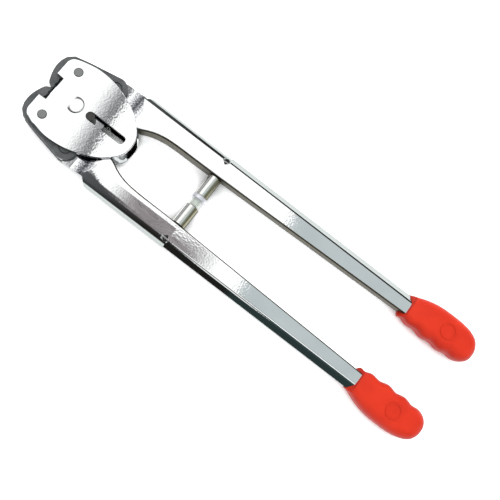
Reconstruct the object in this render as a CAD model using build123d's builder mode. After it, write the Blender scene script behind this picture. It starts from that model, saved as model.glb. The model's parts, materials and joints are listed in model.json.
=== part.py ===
"""Hand sealer for 12 to 16 mm strapping band: a toggle crimper with two long pressed handles.

Frame: +X runs from the jaws to the grips, +Y to the right handle, +Z up.
The jaw pivots stand on X = 0, and the back of the tool rests on Z = 0.
The handles are drawn closed.  RIGHT builds the +Y side and LEFT the -Y side.
"""
import os

from build123d import *

RIGHT = 1
LEFT = -1

# ---- linkage ----
JAW_PIVOT_Y = 21.0
TAIL_X = 28.0
TAIL_Y = 29.2
CENTRE_X = 28.0
RUNNING_FIT = 0.05

# ---- heights of the layers, bottom to top ----
COVER_THICKNESS = 2.5
JAW_THICKNESS = 3.5
SHEET = 2.4
REAR_JAW_Z = 2.8
RIGHT_BOSS_Z = 6.6
HEAD_Z = 9.3
FRONT_JAW_Z = 12.2
FRONT_COVER_Z = 16.0
STACK_TOP = FRONT_COVER_Z + COVER_THICKNESS

# ---- cover plates ----
NOTCH_BASE_X = -5.6
NOTCH_HALF = 10.0
MOUTH_X = -11.5
MOUTH_HALF = 10.4
CORNER_START = (MOUTH_X, 21.7)
CORNER_END = (-7.4, 28.1)
COVER_SIDE = [(0.5, 30.6), (9.0, 32.3), (17.6, 32.5), (28.8, 31.0), (36.2, 28.8), (44.6, 25.5)]
COVER_SIDE += [(53.0, 20.6), (59.9, 14.4), (64.1, 9.0), (65.7, 4.2)]
FRONT_COVER_END = 66.0
REAR_COVER_END = 67.4
SLOT_HALF = 3.55
SLOT_END_X = 59.6
SLOT_CORNER = 2.9
TONGUE_X = 14.1
TONGUE_RADIUS = 6.5
TONGUE_TAPER = 42.0
TONGUE_HEIGHT = 1.8
TONGUE_TILT = 7.0
TONGUE_LEVEL_X = 10.8

# ---- pins and rivets ----
JAW_PIN_RADIUS = 3.4
JAW_PIN_PROUD = 0.5
BUSH_RADIUS = 6.4
RIVET_RADIUS = 3.0
RIVET_HEAD_RADIUS = 4.6
RIVET_HEAD_HEIGHT = 1.2
RIVET_SEAT_RADIUS = 5.3
CENTRE_PIN_RADIUS = 3.5
CENTRE_PIN_RECESS = 0.4

# ---- jaws ----
JAW_EYE_RADIUS = 10.6
JAW_TAIL_RADIUS = 9.2
CRIMP_FACE_X = -7.9
JAW_TIP_GAP = 0.25
JAW_NOSE = [(-9.3, JAW_TIP_GAP), (-12.3, 1.6), (-13.6, 3.2), (-15.8, 8.8), (-16.9, 13.5)]
JAW_NOSE += [(-17.2, 17.0), (-16.8, 21.5), (-15.0, 26.2), (-10.6, 30.2)]
JAW_BACK = [(1.8, 33.3), (25.7, 38.1)]
CRIMP_GROOVES_Y = (3.9, 8.8)
CRIMP_GROOVE_RADIUS = 1.3
CRIMP_GROOVE_X = -7.3

# ---- anvil ----
ANVIL = [(-5.4, 9.0), (-1.0, 9.0), (7.0, 4.2), (16.4, 4.2)]

# ---- handles ----
BOSS_RADIUS = 10.8
LOBE_RADIUS = 9.0
HEAD_RIM = [(52.0, 38.6), (42.0, 39.0), (32.0, 38.8)]
HEAD_INNER = [(30.0, 10.4), (45.0, 11.4), (54.0, 12.9), (60.4, 15.0), (69.7, 19.2)]
HEAD_INNER += [(78.1, 21.6), (87.4, 22.6), (100.0, 22.9), (112.0, 23.0)]
STEP_START_X = 43.6
STEP_END_X = 51.6
STEP_BEND = 20.0
WEB_START_X = 60.0
SHEET_END_X = 52.0
DROP_DIRECTION = (0.5, 0.866)
DROP_START = 11.4
DROP_END = 13.5
DROP_BEND = 1.6
CHANNEL_START_X = 50.0
WEB_TOP = 15.2
WALL_Y = 43.0
SHOULDER_START = (50.6, 38.4)
SHOULDER_FULL = (55.2, WALL_Y)
ROUND_CROWN = (27.0, 37.4, 1.1)
BEVEL_CROWN = (33.5, 38.6, 0.5)
BEVEL_DROP = 4.6
BEVEL_BEND = 4.0
STAKE_X = 127.5
STAKE_DEPTH = 0.6
STAKE_LENGTH = 6.5
STAKE_TILT = 0.4
INNER_BEND = 1.3
JOG_X = 129.5
INNER_JOG_Y = 23.3
INNER_FAR_Y = 29.1
HANDLE_END_X = 350.0
FAR_X = 352.0
INNER_WALL_START_X = 60.0
INNER_WALL_CUT_Y = 25.0
WALL_BOTTOM = [(40.0, 3.4), (66.0, 3.4), (78.0, 2.0), (122.0, 2.0), (136.0, 4.8), (304.0, 6.0), (360.0, 6.0)]
RIVET_HOLE_X = 28.7
RIVET_HOLE_RADIUS = 3.9
RIVET_HOLE_PLAY = 2.95

# ---- closing stop ----
STOP_X = 128.0
STOP_Z = 8.5
RIGHT_POST_RADIUS = 5.5
LEFT_POST_RADIUS = 5.8
POST_SEAT_Y = 23.05
RIGHT_POST_END_Y = 4.9
LEFT_POST_END_Y = 5.1
TENON_RADIUS = 3.2
TENON_HEAD_Y = 25.95
TENON_HEAD_RADIUS = 4.1
TENON_HEAD_HEIGHT = 1.4
NUT_RADIUS = 6.4
NUT_HEIGHT = 4.1
NUT_CHAMFER = 0.8
SCREW_RADIUS = 4.0
SCREW_END_Y = -4.8
SCREW_TOP_Y = 15.0
SCREW_BORE_END_Y = 20.0

# ---- grips: station x, inner y, outer y, bottom z, top z, corner radius ----
GRIP_STATIONS = [
    (299.0, 26.7, 43.5, 4.4, 16.8, 3.0),
    (303.0, 25.0, 44.2, 2.6, 17.8, 4.6),
    (308.5, 23.5, 46.3, 1.2, 18.9, 6.0),
    (313.2, 23.5, 47.9, 0.6, 19.5, 6.6),
    (317.8, 23.9, 49.1, 0.2, 19.8, 7.0),
    (321.0, 23.0, 49.7, 0.0, 20.0, 7.2),
    (324.3, 22.3, 50.1, 0.0, 20.0, 7.2),
    (328.2, 22.8, 50.4, 0.0, 20.0, 7.2),
    (332.0, 23.6, 50.5, 0.0, 20.0, 7.2),
    (335.8, 22.9, 50.5, 0.0, 20.0, 7.2),
    (339.5, 22.3, 50.5, 0.0, 20.0, 7.2),
    (343.4, 23.0, 50.3, 0.0, 20.0, 7.2),
    (347.2, 23.9, 49.9, 0.0, 20.0, 7.2),
    (350.6, 23.4, 49.3, 0.0, 20.0, 7.2),
    (354.0, 23.5, 48.3, 0.3, 19.7, 7.2),
    (357.5, 24.6, 46.8, 1.1, 18.9, 6.8),
    (360.5, 26.5, 44.5, 2.6, 17.4, 6.0),
    (362.6, 28.9, 41.4, 4.6, 15.4, 4.6),
    (363.8, 31.6, 38.4, 7.2, 12.8, 2.6),
]
SOCKET_FIT = 0.04
SOCKET_END_X = 350.4
SOCKET_BOTTOM = 5.9
GRIP_TOP = 20.0
LIP_CUT = [(299.2, 9.5), (304.6, 16.2), (304.6, 30.0), (290.0, 30.0), (290.0, 9.5)]
EMBOSS_X = 336.8
EMBOSS_Y = 36.6
EMBOSS_RADIUS = 6.3
EMBOSS_WIDTH = 0.9
EMBOSS_HEIGHT = 0.4

EDGE = 0.4
FINE_EDGE = 0.25
REACH = 60.0


def on_side(points, side):
    """The same points on the right (+Y) or left (-Y) side."""
    return [(x, side * y) for x, y in points]


def save(part, name):
    """Label a solid and write it as parts/<name>.step."""
    part.label = name
    export_step(part, f"parts/{name}.step")


def face_edges(part, direction=Axis.Z, last=True):
    """Edges of the highest or lowest flat face."""
    return part.faces().filter_by(GeomType.PLANE).sort_by(direction)[-1 if last else 0].edges()


# ---------------------------------------------------------------- head
def cover_plate(bottom, end_x, is_front):
    """Shield-shaped side plate with the mouth notch, the pin holes and the slot."""
    longer = (end_x - CENTRE_X) / (FRONT_COVER_END - CENTRE_X)
    sides = [(CENTRE_X + (x - CENTRE_X) * longer if x > CENTRE_X else x, y) for x, y in COVER_SIDE]
    half = [CORNER_END] + sides
    around = half + [(end_x, 0)] + on_side(reversed(half), LEFT)
    mouth = [CORNER_START, (MOUTH_X, MOUTH_HALF), (NOTCH_BASE_X, NOTCH_HALF)]
    with BuildPart() as plate:
        with BuildSketch(Plane.XY.offset(bottom)):
            with BuildLine():
                Polyline(*mouth, *on_side(reversed(mouth), LEFT))
                corner = TangentArc(CORNER_START, CORNER_END, tangent=(0, 1))
                TangentArc(*on_side([CORNER_START, CORNER_END], LEFT), tangent=(0, -1))
                leave = corner % 1
                Spline(*around, tangents=[leave, (-leave.X, leave.Y)])
            make_face()
        extrude(amount=COVER_THICKNESS)
        chamfer(face_edges(plate, Axis.Z, is_front), EDGE)
        with BuildSketch(Plane.XY.offset(bottom)):
            with Locations((0, JAW_PIVOT_Y), (0, -JAW_PIVOT_Y)):
                Circle(JAW_PIN_RADIUS)
            with Locations((CENTRE_X, 0)):
                Circle(SLOT_HALF)
        extrude(amount=COVER_THICKNESS, mode=Mode.SUBTRACT)
        rings = face_edges(plate, Axis.Z, is_front).filter_by(GeomType.CIRCLE)
        chamfer(rings.filter_by(lambda e: abs(e.arc_center.X) < EDGE), FINE_EDGE)
        with BuildSketch(Plane.XY.offset(bottom)):
            with Locations(((CENTRE_X + SLOT_END_X) / 2, 0)):
                slot = Rectangle(SLOT_END_X - CENTRE_X, 2 * SLOT_HALF)
            fillet(slot.vertices().group_by(Axis.X)[-1], SLOT_CORNER)
        extrude(amount=COVER_THICKNESS, mode=Mode.SUBTRACT)
        if is_front:
            add(raised_tongue())
    return plate.part


def raised_tongue():
    """Half-sheared round tongue, level with the plate on its jaw side and proud on the other."""
    low_edge = (TONGUE_LEVEL_X, 0, STACK_TOP)
    with BuildPart() as tongue:
        with BuildSketch(Plane.XY.offset(STACK_TOP)):
            with Locations((TONGUE_X, 0)):
                Circle(TONGUE_RADIUS)
        extrude(amount=TONGUE_HEIGHT, taper=TONGUE_TAPER)
        with BuildSketch(Plane(origin=low_edge).rotated((0, -TONGUE_TILT, 0))):
            Rectangle(2 * REACH, REACH)
        extrude(amount=REACH, mode=Mode.SUBTRACT)
        with BuildSketch(Plane.XY.offset(STACK_TOP - COVER_THICKNESS / 2)):
            with Locations((TONGUE_X, 0)):
                Circle(TONGUE_RADIUS)
        extrude(amount=COVER_THICKNESS / 2)
    return tongue.part


def anvil_block():
    """Fixed block between the cover plates: the seal lies on its mouth face."""
    with BuildPart() as block:
        with BuildSketch(Plane.XY.offset(COVER_THICKNESS)):
            with BuildLine():
                Polyline((ANVIL[0][0], 0), *ANVIL, (ANVIL[-1][0], 0))
                mirror(about=Plane.XZ)
            make_face()
        extrude(amount=FRONT_COVER_Z - COVER_THICKNESS)
        chamfer(block.faces().sort_by(Axis.X)[0].edges().filter_by(Axis.Z), EDGE)
    return block.part


def jaw_pin(side):
    """Pivot pin through both cover plates, its peened head slightly proud at the front."""
    with BuildPart() as pin:
        with BuildSketch(Plane.XY):
            with Locations((0, side * JAW_PIVOT_Y)):
                Circle(JAW_PIN_RADIUS)
        extrude(amount=STACK_TOP + JAW_PIN_PROUD)
        chamfer(face_edges(pin), EDGE)
    return pin.part


def centre_pin():
    """Pin that joins both handles and slides in the slots of the cover plates."""
    with BuildPart() as pin:
        with BuildSketch(Plane.XY.offset(CENTRE_PIN_RECESS)):
            with Locations((CENTRE_X, 0)):
                Circle(CENTRE_PIN_RADIUS)
        extrude(amount=STACK_TOP - 2 * CENTRE_PIN_RECESS)
        chamfer(face_edges(pin), FINE_EDGE)
        chamfer(face_edges(pin, last=False), FINE_EDGE)
    return pin.part


# ---------------------------------------------------------------- jaws
def jaw_plate(side, bottom, is_front):
    """Hooked jaw plate: nose with crimping grooves, pivot eye and riveted tail."""
    hook = [(CRIMP_FACE_X, JAW_TIP_GAP)] + JAW_NOSE + JAW_BACK
    hook += [(TAIL_X, TAIL_Y), (0, JAW_PIVOT_Y), (0, JAW_PIVOT_Y - JAW_EYE_RADIUS)]
    hook += [(CRIMP_FACE_X, JAW_PIVOT_Y - JAW_EYE_RADIUS)]
    with BuildPart() as jaw:
        with BuildSketch(Plane.XY.offset(bottom)):
            with Locations((0, side * JAW_PIVOT_Y)):
                Circle(JAW_EYE_RADIUS)
            with Locations((TAIL_X, side * TAIL_Y)):
                Circle(JAW_TAIL_RADIUS)
            make_hull()
            with BuildLine():
                Polyline(*on_side(hook, side), close=True)
            make_face()
        extrude(amount=JAW_THICKNESS)
        outer = face_edges(jaw, Axis.Z, is_front)
        chamfer(outer, FINE_EDGE)
        with BuildSketch(Plane.XY.offset(bottom)):
            with Locations((0, side * JAW_PIVOT_Y)):
                Circle(JAW_PIN_RADIUS + RUNNING_FIT)
            with Locations((TAIL_X, side * TAIL_Y)):
                Circle(RIVET_RADIUS)
            with Locations(*[(CRIMP_GROOVE_X, side * y) for y in CRIMP_GROOVES_Y]):
                Circle(CRIMP_GROOVE_RADIUS)
        extrude(amount=JAW_THICKNESS, mode=Mode.SUBTRACT)
        head_z = bottom + JAW_THICKNESS - RIVET_HEAD_HEIGHT if is_front else bottom
        with BuildSketch(Plane.XY.offset(head_z)):
            with Locations((TAIL_X, side * TAIL_Y)):
                Circle(RIVET_SEAT_RADIUS)
        extrude(amount=RIVET_HEAD_HEIGHT, mode=Mode.SUBTRACT)
    return jaw.part


def jaw_bush(side):
    """Tube on the pivot pin that holds the two plates of a jaw apart."""
    length = FRONT_JAW_Z - REAR_JAW_Z - JAW_THICKNESS
    with BuildPart() as bush:
        with BuildSketch(Plane.XY.offset(REAR_JAW_Z + JAW_THICKNESS)):
            with Locations((0, side * JAW_PIVOT_Y)):
                Circle(BUSH_RADIUS)
                Circle(JAW_PIN_RADIUS + RUNNING_FIT, mode=Mode.SUBTRACT)
        extrude(amount=length)
    return bush.part


def tail_rivet(side):
    """Rivet through both jaw tails, flush at its two countersunk heads."""
    with BuildPart() as rivet:
        with BuildSketch(Plane.XY.offset(REAR_JAW_Z)):
            with Locations((TAIL_X, side * TAIL_Y)):
                Circle(RIVET_RADIUS)
        extrude(amount=FRONT_JAW_Z + JAW_THICKNESS - REAR_JAW_Z)
        for head_z in (REAR_JAW_Z, FRONT_JAW_Z + JAW_THICKNESS - RIVET_HEAD_HEIGHT):
            with BuildSketch(Plane.XY.offset(head_z)):
                with Locations((TAIL_X, side * TAIL_Y)):
                    Circle(RIVET_HEAD_RADIUS)
            extrude(amount=RIVET_HEAD_HEIGHT)
        chamfer(face_edges(rivet), EDGE)
        chamfer(face_edges(rivet, last=False), EDGE)
    return rivet.part


# ---------------------------------------------------------------- handles
def inner_edge(side, inset=0):
    """Lines along the inner edge of a handle, from the head to the far end."""
    straight = [HEAD_INNER[-1], (JOG_X, INNER_JOG_Y), (FAR_X, INNER_FAR_Y)]
    Spline(*on_side([(x, y + inset) for x, y in HEAD_INNER], side))
    Polyline(*on_side([(x, y + inset) for x, y in straight], side))


def sheet_band(line, plane):
    """Sheet thickness laid over a bent line, seen from the side and wide enough for any handle."""
    high = [(x, z + SHEET) for x, z in reversed(line)]
    with BuildPart() as band:
        with BuildSketch(plane):
            with BuildLine():
                Polyline(*line, *high, close=True)
            face = make_face()
            bends = face.vertices().filter_by_position(Axis.X, line[0][0] + EDGE, line[-1][0] - EDGE)
            fillet(bends, STEP_BEND if plane == Plane.XZ else DROP_BEND)
        extrude(amount=REACH, both=True)
    return band.part


def step_band(rise):
    """Sheet along the head, the step and the web, lifted by rise."""
    web_z = WEB_TOP - SHEET
    line = [(0, HEAD_Z), (STEP_START_X, HEAD_Z), (STEP_END_X, web_z), (WEB_START_X, web_z)]
    return sheet_band([(x, z + rise) for x, z in line], Plane.XZ)


def sheet_outline(side):
    """Plan of the head and the web: boss, tail lobe and the strip up to the outer fold."""
    rim = [(FAR_X, INNER_FAR_Y), (FAR_X, HEAD_RIM[0][1])] + HEAD_RIM
    rim += [(TAIL_X, TAIL_Y), (CENTRE_X, 0), HEAD_INNER[0]]
    back = [(CENTRE_X - BOSS_RADIUS, 0), (TAIL_X - LOBE_RADIUS, TAIL_Y), (TAIL_X, TAIL_Y), (CENTRE_X, 0)]
    with BuildSketch(Plane.XY) as outline:
        with BuildLine():
            inner_edge(side)
            Polyline(*on_side(rim, side))
        make_face()
        with BuildLine():
            Polyline(*on_side(back, side), close=True)
        make_face()
        with Locations((CENTRE_X, 0)):
            Circle(BOSS_RADIUS)
        with Locations((TAIL_X, side * TAIL_Y)):
            Circle(LOBE_RADIUS)
    return outline.sketch


def handle_sheet(side):
    """Head plate and web in one sheet; the right boss is set down below the left one."""
    across = Vector(*DROP_DIRECTION, 0)
    drop_plane = Plane(origin=(CENTRE_X, 0, 0), x_dir=across, z_dir=across.cross(Vector(0, 0, 1)))
    seam = DROP_END + DROP_BEND
    drop = [(-REACH, RIGHT_BOSS_Z), (DROP_START, RIGHT_BOSS_Z), (DROP_END, HEAD_Z), (seam, HEAD_Z)]
    with BuildPart() as sheet:
        add(step_band(0))
        add(channel_bar(side, 0, SHEET_END_X, True, 0), mode=Mode.INTERSECT)
        if side == RIGHT:
            with BuildSketch(drop_plane):
                with Locations((seam - REACH, 0)):
                    Rectangle(2 * REACH, 2 * STACK_TOP)
            extrude(amount=REACH, both=True, mode=Mode.SUBTRACT)
            add(sheet_band(drop, drop_plane))
        extrude(sheet_outline(side), amount=STACK_TOP, mode=Mode.INTERSECT)
    return sheet.part


def section_lines(side, is_round):
    """Outline of the channel seen along X: flat top, slight crown, shoulder or bevel, outer wall."""
    start_y, end_y, fall = ROUND_CROWN if is_round else BEVEL_CROWN
    crown_end = (side * end_y, WEB_TOP - fall)
    wall_z = WEB_TOP - BEVEL_DROP
    far_y = -side * REACH
    Line((far_y, WEB_TOP), (side * start_y, WEB_TOP))
    crown = TangentArc((side * start_y, WEB_TOP), crown_end, tangent=(side, 0))
    if is_round:
        leave = crown % 1
        wall_z = WEB_TOP - fall - (WALL_Y - end_y) * abs(leave.X) / (1 + leave.Y)
        TangentArc(crown_end, (side * WALL_Y, wall_z), tangent=leave)
    else:
        Line(crown_end, (side * WALL_Y, wall_z))
    Polyline((side * WALL_Y, wall_z), (side * WALL_Y, -REACH), (far_y, -REACH), (far_y, WEB_TOP))


def channel_bar(side, start_x, end_x, is_round, inset):
    """Straight bar with the outer section of the channel; a positive inset makes it smaller."""
    with BuildPart() as bar:
        with BuildSketch(Plane.YZ.offset(start_x)):
            with BuildLine():
                section_lines(side, is_round)
            face = make_face()
            if not is_round:
                fold = (side * BEVEL_CROWN[1], WEB_TOP - BEVEL_CROWN[2])
                fillet(face.vertices().sort_by_distance(fold)[0], BEVEL_BEND)
            if inset != 0:
                offset(amount=-inset, kind=Kind.INTERSECTION)
        extrude(amount=end_x - start_x)
    return bar.part


def channel_block(side, start_x, end_x, is_round, inset):
    """Solid length of the handle channel; a positive inset gives the hollow inside it."""
    first = (HEAD_INNER[0][0], HEAD_INNER[0][1] + inset)
    last = (FAR_X, INNER_FAR_Y + inset)
    with BuildPart() as block:
        add(channel_bar(side, start_x, end_x, is_round, inset))
        with BuildSketch(Plane.XY):
            with BuildLine():
                inner_edge(side, inset)
                Polyline(*on_side([last, (last[0], REACH), (first[0], REACH), first], side))
            make_face()
        extrude(amount=STACK_TOP, mode=Mode.INTERSECT)
    return block.part


def inner_rim(channel, side, crown):
    """Long edges of the flat top between the inner wall and the start of the crown."""
    rim = face_edges(channel).filter_by(lambda e: e.bounding_box().size.X > BOSS_RADIUS)
    return rim.filter_by(lambda e: side * e.center().Y < crown[0] - EDGE)


def handle_channel(side):
    """Hollow channel: rounded shoulder up to the jog, bevelled edge beyond it."""
    with BuildPart() as channel:
        add(channel_block(side, CHANNEL_START_X, JOG_X, True, 0))
        add(channel_block(side, JOG_X, HANDLE_END_X, False, 0))
        fillet(inner_rim(channel, side, ROUND_CROWN), INNER_BEND)
        add(channel_block(side, CHANNEL_START_X - 1, JOG_X, True, SHEET), mode=Mode.SUBTRACT)
        add(channel_block(side, JOG_X, HANDLE_END_X, False, SHEET), mode=Mode.SUBTRACT)
        add(step_band(SHEET), mode=Mode.SUBTRACT)
        with BuildSketch(Plane.XZ):
            with BuildLine():
                Polyline((WALL_BOTTOM[0][0], -1), *WALL_BOTTOM, (WALL_BOTTOM[-1][0], -1), close=True)
            make_face()
        extrude(amount=REACH, both=True, mode=Mode.SUBTRACT)
        with BuildSketch(Plane.XY):
            with BuildLine():
                ramp = [SHOULDER_START, SHOULDER_FULL, (SHOULDER_FULL[0], REACH)]
                ramp += [(0, REACH), (0, SHOULDER_START[1])]
                Polyline(*on_side(ramp, side), close=True)
            make_face()
        extrude(amount=STACK_TOP, mode=Mode.SUBTRACT)
        with BuildSketch(Plane.XY):
            with BuildLine():
                near = [(0, 0), (INNER_WALL_START_X, 0), (INNER_WALL_START_X, INNER_WALL_CUT_Y)]
                near += [(0, INNER_WALL_CUT_Y)]
                Polyline(*on_side(near, side), close=True)
            make_face()
        extrude(amount=WEB_TOP - SHEET, mode=Mode.SUBTRACT)
        fold = (STAKE_X, side * ROUND_CROWN[1], WEB_TOP - ROUND_CROWN[2] - STAKE_DEPTH)
        with BuildSketch(Plane(origin=fold, x_dir=(1, 0, 0), z_dir=(0, side * STAKE_TILT, 1))):
            RegularPolygon(STAKE_LENGTH / 2, 4)
        extrude(amount=SHEET, mode=Mode.SUBTRACT)
    return channel.part


def handle(side):
    """One pressed handle: head plate, step, channel, and its pivot and rivet holes."""
    with BuildPart() as whole:
        add(handle_sheet(side))
        add(handle_channel(side))
        with BuildSketch(Plane.XY):
            with Locations((CENTRE_X, 0)):
                Circle(CENTRE_PIN_RADIUS + RUNNING_FIT)
            with Locations((RIVET_HOLE_X, side * TAIL_Y)):
                SlotCenterToCenter(2 * RIVET_HOLE_PLAY, 2 * RIVET_HOLE_RADIUS, rotation=90)
        extrude(amount=STACK_TOP, mode=Mode.SUBTRACT)
        with BuildSketch(Plane.XZ):
            with Locations((STOP_X, STOP_Z)):
                Circle(TENON_RADIUS)
        extrude(amount=-side * TAIL_Y, mode=Mode.SUBTRACT)
    return whole.part


# ---------------------------------------------------------------- closing stop
def stop_post(side, radius, end_y):
    """Post standing on the inner wall of a handle, riveted through it."""
    with BuildPart() as post:
        with BuildSketch(Plane.XZ.offset(-side * end_y)):
            with Locations((STOP_X, STOP_Z)):
                Circle(radius)
        extrude(amount=-side * (POST_SEAT_Y - end_y))
        chamfer(post.edges().filter_by(GeomType.CIRCLE), EDGE)
        with BuildSketch(Plane.XZ.offset(-side * POST_SEAT_Y)):
            with Locations((STOP_X, STOP_Z)):
                Circle(TENON_RADIUS)
        extrude(amount=-side * (TENON_HEAD_Y - POST_SEAT_Y))
        with BuildSketch(Plane.XZ.offset(-side * TENON_HEAD_Y)):
            with Locations((STOP_X, STOP_Z)):
                Circle(TENON_HEAD_RADIUS)
        extrude(amount=-side * TENON_HEAD_HEIGHT)
        if side == RIGHT:
            with BuildSketch(Plane.XZ.offset(-end_y)):
                with Locations((STOP_X, STOP_Z)):
                    Circle(SCREW_RADIUS + RUNNING_FIT)
            extrude(amount=-(SCREW_BORE_END_Y - end_y), mode=Mode.SUBTRACT)
    return post.part


def lock_nut():
    """Thin round nut clamped against the threaded right post."""
    with BuildPart() as nut:
        with BuildSketch(Plane.XZ.offset(-RIGHT_POST_END_Y)):
            with Locations((STOP_X, STOP_Z)):
                Circle(NUT_RADIUS)
        extrude(amount=NUT_HEIGHT)
        chamfer(nut.edges().filter_by(GeomType.CIRCLE), NUT_CHAMFER)
        with BuildSketch(Plane.XZ.offset(-RIGHT_POST_END_Y)):
            with Locations((STOP_X, STOP_Z)):
                Circle(SCREW_RADIUS + RUNNING_FIT)
        extrude(amount=NUT_HEIGHT, mode=Mode.SUBTRACT)
    return nut.part


def stop_screw():
    """Adjusting screw that meets the left post when the handles are closed."""
    with BuildPart() as screw:
        with BuildSketch(Plane.XZ.offset(-SCREW_END_Y)):
            with Locations((STOP_X, STOP_Z)):
                Circle(SCREW_RADIUS)
        extrude(amount=-(SCREW_TOP_Y - SCREW_END_Y))
        chamfer(screw.edges().filter_by(GeomType.CIRCLE), EDGE)
    return screw.part


# ---------------------------------------------------------------- grips
def socket(side):
    """Outside of the handle channel with a small fit, cut out of the grip."""
    with BuildPart() as space:
        add(channel_block(side, GRIP_STATIONS[0][0] - 1, SOCKET_END_X, False, -SOCKET_FIT))
        fillet(inner_rim(space, side, BEVEL_CROWN), INNER_BEND)
        with BuildSketch(Plane.XY):
            Rectangle(4 * SOCKET_END_X, 4 * REACH)
        extrude(amount=SOCKET_BOTTOM, mode=Mode.SUBTRACT)
    return space.part


def grip(side):
    """Moulded sleeve with finger grooves on the inner side and a plain embossed ring."""
    with BuildPart() as sleeve:
        for x, inner_y, outer_y, low_z, high_z, corner in GRIP_STATIONS:
            with BuildSketch(Plane.YZ.offset(x)):
                with Locations((side * (inner_y + outer_y) / 2, (low_z + high_z) / 2)):
                    RectangleRounded(outer_y - inner_y, high_z - low_z, corner)
        loft()
        add(socket(side), mode=Mode.SUBTRACT)
        with BuildSketch(Plane.XZ):
            with BuildLine():
                Polyline(*LIP_CUT, close=True)
            make_face()
        extrude(amount=REACH, both=True, mode=Mode.SUBTRACT)
        with BuildSketch(Plane.XY.offset(GRIP_TOP - EMBOSS_WIDTH)):
            with Locations((EMBOSS_X, side * EMBOSS_Y)):
                Circle(EMBOSS_RADIUS)
                Circle(EMBOSS_RADIUS - EMBOSS_WIDTH, mode=Mode.SUBTRACT)
        extrude(amount=EMBOSS_WIDTH + EMBOSS_HEIGHT)
    return sleeve.part


def build_tool():
    """Make every piece and write one STEP file for each."""
    save(cover_plate(FRONT_COVER_Z, FRONT_COVER_END, True), "front_cover_plate")
    save(cover_plate(0, REAR_COVER_END, False), "rear_cover_plate")
    save(anvil_block(), "anvil_block")
    save(centre_pin(), "centre_pin")
    for side, word in ((RIGHT, "right"), (LEFT, "left")):
        save(jaw_pin(side), f"jaw_pin_{word}")
        save(jaw_plate(side, FRONT_JAW_Z, True), f"front_jaw_{word}")
        save(jaw_plate(side, REAR_JAW_Z, False), f"rear_jaw_{word}")
        save(jaw_bush(side), f"jaw_bush_{word}")
        save(tail_rivet(side), f"tail_rivet_{word}")
        save(handle(side), f"handle_{word}")
        save(grip(side), f"grip_{word}")
    save(stop_post(RIGHT, RIGHT_POST_RADIUS, RIGHT_POST_END_Y), "stop_post_right")
    save(stop_post(LEFT, LEFT_POST_RADIUS, LEFT_POST_END_Y), "stop_post_left")
    save(lock_nut(), "lock_nut")
    save(stop_screw(), "stop_screw")


os.makedirs("parts", exist_ok=True)
build_tool()
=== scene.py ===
import json
import math

import bpy
from mathutils import Matrix, Vector

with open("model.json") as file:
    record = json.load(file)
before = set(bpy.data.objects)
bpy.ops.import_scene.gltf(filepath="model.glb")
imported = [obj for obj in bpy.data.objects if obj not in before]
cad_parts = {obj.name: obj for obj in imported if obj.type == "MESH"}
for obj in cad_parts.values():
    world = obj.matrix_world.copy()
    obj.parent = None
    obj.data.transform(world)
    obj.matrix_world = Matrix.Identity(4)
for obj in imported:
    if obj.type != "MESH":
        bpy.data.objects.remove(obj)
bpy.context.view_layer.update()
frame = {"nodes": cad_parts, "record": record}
nodes = frame["nodes"]

# Places on the tool, in metres in the frame of the CAD.
HEAD_END = 0.030  # X past which the bends of the handles get a painted dark speckled reflection
GRAIN_START = 0.085  # X past which the handles' grain is coarser
TONGUE_RIM = 0.0152  # X of the centre of the tongue's sheared rim
TONGUE_DISC = 0.0141  # X of the centre of the tongue
RIM_RADIUS = 0.0052
DISC_RADIUS = 0.0066
TONGUE_BACK = 0.0108  # X where the painted shade of the rim ends on the jaws' side
TONGUE_BASE = 0.0165  # Z above which the tongue is raised
STAKE_X = (0.1242, 0.1302)
STAKE_Y = (0.0366, 0.0412)
STAKE_BASE = 0.0135  # Z above which the staked mark shows
THREAD_SCALE = 251.0  # gives ridges about 1.25 mm apart


# ---------------------------------------------------------------- nodes
def material(name, build):
    """A node material whose surface is made by build(tree, shader)."""
    made = bpy.data.materials.new(name)
    made.use_nodes = True
    tree = made.node_tree
    build(tree, tree.nodes["Principled BSDF"])
    return made


def node(tree, kind, **values):
    """Add a node; keys that name an input set it, and the others set a property."""
    made = tree.nodes.new(kind)
    for key, value in values.items():
        if key in made.inputs:
            made.inputs[key].default_value = value
        else:
            setattr(made, key, value)
    return made


def plug(tree, value, socket):
    """Set a socket from another socket, a number or a colour."""
    if isinstance(value, bpy.types.NodeSocket):
        tree.links.new(value, socket)
    elif isinstance(value, tuple):
        socket.default_value = (*value, 1.0)
    else:
        socket.default_value = value


def math_node(tree, operation, first, second=0.0, clamp=False):
    """A Math node; each operand is a socket or a number."""
    made = node(tree, "ShaderNodeMath", operation=operation, use_clamp=clamp)
    plug(tree, first, made.inputs[0])
    plug(tree, second, made.inputs[1])
    return made.outputs[0]


def product(tree, first, *others):
    for other in others:
        first = math_node(tree, "MULTIPLY", first, other)
    return first


def either(tree, first, second):
    """The sum of two masks, at most 1."""
    return math_node(tree, "ADD", first, second, clamp=True)


def without(tree, first, second):
    """The first mask where the second isn't."""
    return math_node(tree, "SUBTRACT", first, second, clamp=True)


def size_of(tree, value):
    return math_node(tree, "ABSOLUTE", value)


def rise(tree, value, place, soft):
    """0 below place, 1 above it, with a smooth change over 2 * soft."""
    made = node(tree, "ShaderNodeMapRange", interpolation_type="SMOOTHSTEP")
    plug(tree, value, made.inputs["Value"])
    made.inputs["From Min"].default_value = place - soft
    made.inputs["From Max"].default_value = place + soft
    return made.outputs["Result"]


def fall(tree, value, place, soft):
    """1 below place, 0 above it."""
    return math_node(tree, "SUBTRACT", 1.0, rise(tree, value, place, soft))


def between(tree, value, low, high, soft):
    """1 from low to high, 0 elsewhere."""
    return product(tree, rise(tree, value, low, soft), fall(tree, value, high, soft))


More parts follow.
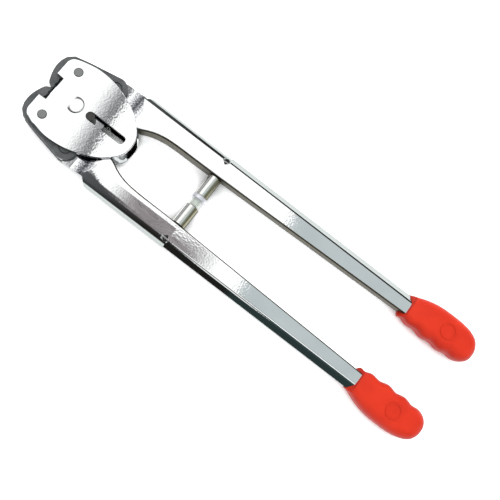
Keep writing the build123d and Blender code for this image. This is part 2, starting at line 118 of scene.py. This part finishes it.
def mixed(tree, factor, first, second):
    """Colour mix; first and second are sockets or colours."""
    made = node(tree, "ShaderNodeMix", data_type="RGBA")
    plug(tree, factor, made.inputs["Factor"])
    plug(tree, first, made.inputs[6])
    plug(tree, second, made.inputs[7])
    return made.outputs[2]


def noise(tree, place, scale, detail, roughness=0.5):
    made = node(tree, "ShaderNodeTexNoise", Scale=scale, Detail=detail, Roughness=roughness)
    plug(tree, place, made.inputs["Vector"])
    return made.outputs["Fac"]


def ridges_along_y(tree, place, scale, distortion=0.0):
    made = node(tree, "ShaderNodeTexWave", bands_direction="Y", Scale=scale, Distortion=distortion)
    plug(tree, place, made.inputs["Vector"])
    return made.outputs["Fac"]


def shades(tree, value, low, high, dark, light):
    """A colour that runs from dark at low to light at high."""
    made = tree.nodes.new("ShaderNodeValToRGB")
    plug(tree, value, made.inputs["Fac"])
    for element, place, shade in zip(made.color_ramp.elements, (low, high), (dark, light)):
        element.position = place
        element.color = (*shade, 1.0)
    return made.outputs["Color"]


def grey(level):
    return (level, level, level)


def axes(tree, vector):
    """The X, Y and Z of a vector, by name."""
    split = tree.nodes.new("ShaderNodeSeparateXYZ")
    plug(tree, vector, split.inputs[0])
    return split.outputs


def from_axis(tree, spot, centre):
    """Distance from the line along Z through (centre, 0)."""
    along = math_node(tree, "POWER", math_node(tree, "SUBTRACT", spot["X"], centre), 2.0)
    across = math_node(tree, "POWER", spot["Y"], 2.0)
    return math_node(tree, "SQRT", math_node(tree, "ADD", along, across))


def surface(tree, shader, colour, roughness, metallic, specular=0.5):
    """Set the shader's main sockets; each value is a socket, a number or a colour."""
    plug(tree, colour, shader.inputs["Base Color"])
    plug(tree, roughness, shader.inputs["Roughness"])
    plug(tree, metallic, shader.inputs["Metallic"])
    shader.inputs["Specular IOR Level"].default_value = specular


def bump(tree, shader, height, distance, under=None):
    """Bump from height, in metres, on top of an optional bump socket."""
    made = node(tree, "ShaderNodeBump", Strength=1.0, Distance=distance)
    plug(tree, height, made.inputs["Height"])
    if under is not None:
        plug(tree, under, made.inputs["Normal"])
    plug(tree, made.outputs["Normal"], shader.inputs["Normal"])
    return made.outputs["Normal"]


# ---------------------------------------------------------------- materials
def painted_rim_shade(tree, spot):
    """Mask of the painted shade round the sheared rim of the raised tongue, widest at its two ends."""
    past_rim = rise(tree, from_axis(tree, spot, TONGUE_RIM), RIM_RADIUS, soft=0.0008)
    past_disc = rise(tree, from_axis(tree, spot, TONGUE_DISC), DISC_RADIUS, soft=0.0002)
    grip_side = rise(tree, spot["X"], TONGUE_BACK, soft=0.0012)
    raised = rise(tree, spot["Z"], TONGUE_BASE, soft=0.0005)
    return product(tree, without(tree, past_rim, past_disc), grip_side, raised)


def staked_mark(tree, spot):
    """Mask of the matt staked mark on each fold."""
    along = between(tree, spot["X"], *STAKE_X, soft=0.0003)
    across = between(tree, size_of(tree, spot["Y"]), *STAKE_Y, soft=0.0003)
    return product(tree, along, across, rise(tree, spot["Z"], STAKE_BASE, soft=0.0005))


def plated(tree, shader):
    """Bright plated steel: fine grain, a painted dark speckled reflection on the bends, painted shade on
    the side walls (the inward ones also duller), painted shade round the tongue's sheared rim, and
    staked marks.
    """
    here = node(tree, "ShaderNodeTexCoord")
    place = here.outputs["Object"]
    spot = axes(tree, place)
    normal = axes(tree, here.outputs["Normal"])
    speckle = noise(tree, place, scale=900.0, detail=3.0, roughness=0.7)
    cloud = noise(tree, place, scale=38.0, detail=3.0)

    outward = product(tree, spot["Y"], normal["Y"])
    inner_shade_and_dull = fall(tree, outward, -0.007, soft=0.005)
    outer_wall_shade = rise(tree, outward, 0.020, soft=0.008)
    bend_reflection_mask = rise(tree, size_of(tree, normal["X"]), 0.12, soft=0.12)
    bend_reflection_mask = product(tree, bend_reflection_mask, rise(tree, spot["X"], HEAD_END, soft=0.001))
    staked = staked_mark(tree, spot)

    colour = shades(tree, cloud, 0.3, 0.7, dark=(0.80, 0.815, 0.82), light=(0.88, 0.89, 0.89))
    bend_reflection_paint = shades(tree, speckle, 0.42, 0.60, dark=(0.16, 0.165, 0.18), light=(0.85, 0.86, 0.88))
    # Painted shade: the walls that face outward are greyed.
    colour = mixed(tree, outer_wall_shade, colour, (0.40, 0.43, 0.42))
    # Painted reflection: the bends get a dark speckle.
    colour = mixed(tree, bend_reflection_mask, colour, bend_reflection_paint)
    # Painted shade: the walls that face inward are dark olive; they are also rougher.
    colour = mixed(tree, inner_shade_and_dull, colour, (0.070, 0.062, 0.036))
    colour = mixed(tree, staked, colour, (0.90, 0.91, 0.91))
    # Painted shade: a dark crescent round the tongue's sheared rim.
    colour = mixed(tree, painted_rim_shade(tree, spot), colour, (0.11, 0.105, 0.10))

    gloss = shades(tree, speckle, 0.35, 0.7, dark=grey(0.02), light=grey(0.06))
    gloss = mixed(tree, staked, gloss, grey(0.75))
    gloss = mixed(tree, inner_shade_and_dull, gloss, grey(0.38))
    surface(tree, shader, colour, gloss, metallic=1.0)

    wave = noise(tree, place, scale=60.0, detail=2.0)
    broad = bump(tree, shader, wave, 0.000010)
    grains = noise(tree, place, scale=720.0, detail=0.0)
    extra = product(tree, rise(tree, spot["X"], GRAIN_START, soft=0.02), 1.1)
    grains = product(tree, grains, math_node(tree, "ADD", 1.0, extra))
    bump(tree, shader, grains, 0.0000048, under=broad)


def blackened(tree, shader):
    """Matt hardened steel with a light oily mottle."""
    place = node(tree, "ShaderNodeTexCoord").outputs["Object"]
    mottle = noise(tree, place, scale=160.0, detail=4.0)
    grain = noise(tree, place, scale=1800.0, detail=2.0)
    tint = shades(tree, mottle, 0.3, 0.75, dark=(0.082, 0.086, 0.090), light=(0.155, 0.160, 0.160))
    gloss = shades(tree, grain, 0.3, 0.7, dark=grey(0.46), light=grey(0.62))
    surface(tree, shader, tint, gloss, metallic=0.4, specular=0.4)
    bump(tree, shader, grain, 0.00003)


def ground_pin(tree, shader):
    """Plain ground steel, darker than the plating round it."""
    place = node(tree, "ShaderNodeTexCoord").outputs["Object"]
    mottle = noise(tree, place, scale=420.0, detail=3.0)
    grain = noise(tree, place, scale=2600.0, detail=2.0)
    tint = shades(tree, mottle, 0.3, 0.7, dark=(0.24, 0.245, 0.245), light=(0.33, 0.335, 0.335))
    gloss = shades(tree, mottle, 0.3, 0.7, dark=grey(0.34), light=grey(0.5))
    surface(tree, shader, tint, gloss, metallic=1.0)
    bump(tree, shader, grain, 0.00001)


def dark_pin(tree, shader):
    """Hardened pin left dark, with a worn mottle."""
    place = node(tree, "ShaderNodeTexCoord").outputs["Object"]
    mottle = noise(tree, place, scale=300.0, detail=3.0)
    tint = shades(tree, mottle, 0.3, 0.7, dark=(0.05, 0.048, 0.045), light=(0.10, 0.095, 0.09))
    gloss = shades(tree, mottle, 0.3, 0.7, dark=grey(0.35), light=grey(0.5))
    surface(tree, shader, tint, gloss, metallic=0.9)
    bump(tree, shader, mottle, 0.00002)


def turned(tree, shader):
    """Turned steel with fine rings round the Y axis, with painted shade: an olive tint on its grip side,
    and near-black and non-metallic where a face doesn't point up.
    """
    here = node(tree, "ShaderNodeTexCoord")
    normal = axes(tree, here.outputs["Normal"])
    rings = ridges_along_y(tree, here.outputs["Object"], scale=900.0, distortion=1.5)
    tint = shades(tree, rings, 0.2, 0.8, dark=(0.80, 0.79, 0.75), light=(0.90, 0.89, 0.86))
    # Painted shade: an olive tint on the side facing +X.
    tint = mixed(tree, rise(tree, normal["X"], 0.34, soft=0.12), tint, (0.36, 0.35, 0.24))
    # Painted shade: faces that don't point up turn near-black and non-metallic.
    upright = rise(tree, normal["Z"], 0.42, soft=0.14)
    tint = mixed(tree, upright, (0.05, 0.048, 0.03), tint)
    gloss = shades(tree, rings, 0.2, 0.8, dark=grey(0.12), light=grey(0.2))
    surface(tree, shader, tint, gloss, metallic=upright, specular=0.1)
    bump(tree, shader, rings, 0.000004)


def nut_steel(tree, shader):
    """Pale plated steel with a fine grain."""
    place = node(tree, "ShaderNodeTexCoord").outputs["Object"]
    grain = noise(tree, place, scale=1500.0, detail=2.0)
    tint = shades(tree, grain, 0.3, 0.7, dark=(0.72, 0.72, 0.76), light=(0.84, 0.84, 0.88))
    gloss = shades(tree, grain, 0.3, 0.7, dark=grey(0.3), light=grey(0.42))
    surface(tree, shader, tint, gloss, metallic=0.6)
    bump(tree, shader, grain, 0.00001)


def threaded(tree, shader):
    """Pale zinc-plated thread, whose pitch shows as ridges along the Y axis, with the grooves painted
    darker as shade.
    """
    place = node(tree, "ShaderNodeTexCoord").outputs["Object"]
    ridges = ridges_along_y(tree, place, THREAD_SCALE)
    # Painted shade: the grooves between the ridges are darker.
    tint = shades(tree, ridges, 0.2, 0.8, dark=(0.58, 0.64, 0.56), light=(0.90, 0.95, 0.88))
    surface(tree, shader, tint, roughness=0.3, metallic=0.4)
    bump(tree, shader, ridges, 0.0002)


def grip_plastic(tree, shader):
    """Satin orange-red plastic with a fine moulded grain, with painted shade that darkens its steep
    sides.
    """
    here = node(tree, "ShaderNodeTexCoord")
    place = here.outputs["Object"]
    cloud = noise(tree, place, scale=60.0, detail=3.0)
    grain = noise(tree, place, scale=1600.0, detail=2.0)
    tint = shades(tree, cloud, 0.3, 0.7, dark=(0.62, 0.026, 0.008), light=(0.70, 0.034, 0.010))
    level = rise(tree, axes(tree, here.outputs["Normal"])["Z"], 0.55, soft=0.40)
    # Painted shade: the steep sides are darker.
    tint = mixed(tree, level, (0.40, 0.014, 0.005), tint)
    gloss = shades(tree, grain, 0.3, 0.7, dark=grey(0.42), light=grey(0.54))
    surface(tree, shader, tint, gloss, metallic=0.0, specular=0.25)
    bump(tree, shader, grain, 0.00003)


finishes = {
    "plated_steel": material("plated_steel_look", plated),
    "blackened_steel": material("blackened_steel_look", blackened),
    "pin_steel": material("pin_steel_look", ground_pin),
    "dark_pin_steel": material("dark_pin_look", dark_pin),
    "bright_steel": material("bright_steel_look", turned),
    "grip_plastic": material("grip_plastic_look", grip_plastic),
}
own_finishes = {
    "lock_nut": material("nut_look", nut_steel),
    "stop_screw": material("thread_look", threaded),
}
for part in frame["record"]["subparts"]:
    for holder in nodes[part["node"]].material_slots:
        holder.material = own_finishes.get(part["node"], finishes[part["material_slot"]])


# ---------------------------------------------------------------- stage
FLOOR_HALF = 6
FLOOR_DROP = 0.0002
FLOOR_GLOW = 0.6
SHADE_REACH = 0.02  # distance within which the tool dims the floor's glow


def pale(tree, shader):
    """Matt near-white floor with a faint glow that fades close to the tool."""
    surface(tree, shader, grey(0.9), roughness=0.9, metallic=0.0, specular=0.0)
    clear = node(tree, "ShaderNodeAmbientOcclusion", Distance=SHADE_REACH).outputs["AO"]
    shader.inputs["Emission Color"].default_value = (1, 1, 1, 1)
    glow = product(tree, rise(tree, clear, 0.50, soft=0.15), FLOOR_GLOW)
    plug(tree, glow, shader.inputs["Emission Strength"])


corners = [(-FLOOR_HALF, -FLOOR_HALF, 0), (FLOOR_HALF, -FLOOR_HALF, 0)]
corners += [(FLOOR_HALF, FLOOR_HALF, 0), (-FLOOR_HALF, FLOOR_HALF, 0)]
floor_mesh = bpy.data.meshes.new("floor")
floor_mesh.from_pydata(corners, [], [(0, 1, 2, 3)])
floor_mesh.materials.append(material("pale_floor", pale))
floor = bpy.data.objects.new("floor", floor_mesh)
floor.location.z = -FLOOR_DROP
bpy.context.scene.collection.objects.link(floor)

# Two wide soft lamps that light the matt surfaces and aren't mirrored in the metal.
LAMP_SIZE = (3.0, 1.6)
LAMP_X, LAMP_OUT, LAMP_UP = 0.2, 1.7, 1.5
LAMP_LEAN = math.radians(48)
for name, side, energy in (("fill_right", 1, 46.0), ("fill_left", -1, 30.0)):
    light = bpy.data.lights.new(name, "AREA")
    light.shape = "RECTANGLE"
    light.size, light.size_y = LAMP_SIZE
    light.energy = energy
    lamp = bpy.data.objects.new(name, light)
    lamp.location = (LAMP_X, side * LAMP_OUT, LAMP_UP)
    lamp.rotation_euler = (-side * LAMP_LEAN, 0, 0)
    lamp.visible_camera = False
    lamp.visible_glossy = False
    bpy.context.scene.collection.objects.link(lamp)


# ---------------------------------------------------------------- studio
# The world is a studio of soft boxes overhead, seen only in the metal. A direction is given by its
# slopes: how far it leans along X and along Y for each unit of height.
BOX_END = 0.92  # the slope along Y where the boxes end
GAP_LEFT, GAP_RIGHT = -0.261, -0.240  # the narrow dark gap between the left and the middle box
BOX_SPLIT = 0.02  # the slope along X where the middle box ends and the grey right box starts
BOX_LIGHT = grey(1.35)
BACKDROP = grey(0.93)

world = bpy.data.worlds.new("studio")
world.use_nodes = True
bpy.context.scene.world = world
sky = world.node_tree
direction = node(sky, "ShaderNodeTexCoord").outputs["Generated"]
towards = axes(sky, direction)
height = math_node(sky, "MAXIMUM", towards["Z"], 0.01)
slope_x = math_node(sky, "DIVIDE", towards["X"], height)
slope_y = math_node(sky, "DIVIDE", towards["Y"], height)


def patch_mask():
    """Mask of the mottled brown patch, which the web of the left handle mirrors."""
    leaning = math_node(sky, "SUBTRACT", slope_y, product(sky, slope_x, 0.2))
    along = between(sky, slope_x, -0.170, -0.038, soft=0.030)
    return product(sky, along, between(sky, leaning, -2.0, 0.188, soft=0.012))


def white_boxes(patch):
    """Mask of the two large white boxes, outside the patch, and of two thin lights low down."""
    turn = product(sky, math_node(sky, "SUBTRACT", slope_y, 0.25), 0.1)
    skewed = math_node(sky, "ADD", slope_x, turn)
    left = without(sky, rise(sky, slope_x, -1.05, soft=0.55), rise(sky, skewed, GAP_LEFT, soft=0.020))
    left = product(sky, left, between(sky, slope_y, -0.10, BOX_END, soft=0.02))
    middle = rise(sky, skewed, GAP_RIGHT, soft=0.004)
    middle = product(sky, middle, between(sky, slope_y, -0.17, BOX_END, soft=0.03))
    middle = without(sky, middle, rise(sky, slope_x, BOX_SPLIT, soft=0.008))
    middle = product(sky, middle, math_node(sky, "SUBTRACT", 1.0, patch))
    fold_line = between(sky, slope_y, -0.42, -0.20, soft=0.04)
    fold_line = product(sky, fold_line, rise(sky, slope_x, -0.085, soft=0.008))
    bevel_line = between(sky, slope_y, -2.2, -0.95, soft=0.08)
    bevel_line = product(sky, bevel_line, between(sky, slope_x, -0.09, 0.09, soft=0.03))
    lines = math_node(sky, "ADD", fold_line, bevel_line)
    return either(sky, either(sky, left, middle), lines)


def surroundings(patch):
    """What the metal sees outside the white boxes: a dark room with dim and grey areas."""
    near_side = fall(sky, slope_y, -0.25, soft=0.10)
    left_side = fall(sky, towards["X"], -0.23, soft=0.12)
    shade = mixed(sky, left_side, (0.030, 0.028, 0.026), (0.20, 0.21, 0.23))
    teal = product(sky, near_side, rise(sky, slope_x, 0.05, soft=0.03))
    shade = mixed(sky, teal, shade, (0.055, 0.085, 0.085))
    low_near = product(sky, fall(sky, towards["Z"], 0.12, soft=0.03), near_side)
    shade = mixed(sky, low_near, shade, (0.42, 0.43, 0.43))
    ends = rise(sky, size_of(sky, towards["X"]), 0.50, soft=0.08)
    ends = product(sky, ends, fall(sky, towards["Z"], 0.36, soft=0.06))
    shade = mixed(sky, ends, shade, (0.60, 0.62, 0.63))
    low_far = rise(sky, towards["Y"], 0.15, soft=0.15)
    low_far = product(sky, low_far, fall(sky, towards["Z"], 0.13, soft=0.03))
    shade = mixed(sky, low_far, shade, (0.75, 0.78, 0.78))
    right_box = between(sky, slope_x, BOX_SPLIT, 1.6, soft=0.008)
    right_box = product(sky, right_box, between(sky, slope_y, -0.10, BOX_END, soft=0.05))
    shade = mixed(sky, right_box, shade, (0.58, 0.64, 0.65))
    speckle = noise(sky, direction, scale=170.0, detail=2.0, roughness=0.7)
    mottle = shades(sky, speckle, 0.42, 0.60, dark=(0.060, 0.042, 0.040), light=(0.62, 0.58, 0.60))
    return mixed(sky, product(sky, patch, rise(sky, slope_y, -0.30, soft=0.14)), shade, mottle)


patch = patch_mask()
around = mixed(sky, white_boxes(patch), surroundings(patch), BOX_LIGHT)
straight = node(sky, "ShaderNodeLightPath").outputs["Is Camera Ray"]
background = sky.nodes["Background"]
plug(sky, mixed(sky, straight, around, BACKDROP), background.inputs["Color"])
background.inputs["Strength"].default_value = 1.0

# ---------------------------------------------------------------- camera
TILT = math.radians(11.9)
ROLL = math.radians(37.62)
DISTANCE = 0.595
AIM = Vector((0.1821, -0.0065, 0.0185))
FOCAL_LENGTH, SENSOR_WIDTH = 57.98, 36.0

forward = Vector((0, math.sin(TILT), -math.cos(TILT)))
across = Vector((0, math.cos(TILT), math.sin(TILT)))
along = Vector((1, 0, 0))
right = math.cos(ROLL) * along + math.sin(ROLL) * across
up = -math.sin(ROLL) * along + math.cos(ROLL) * across
lens = bpy.data.cameras.new("camera")
lens.sensor_width = SENSOR_WIDTH
lens.lens = FOCAL_LENGTH
camera = bpy.data.objects.new("camera", lens)
camera.matrix_world = Matrix((right, up, -forward)).transposed().to_4x4()
camera.location = AIM - forward * DISTANCE
bpy.context.scene.collection.objects.link(camera)
bpy.context.scene.camera = camera
bpy.context.scene.view_settings.view_transform = "Standard"
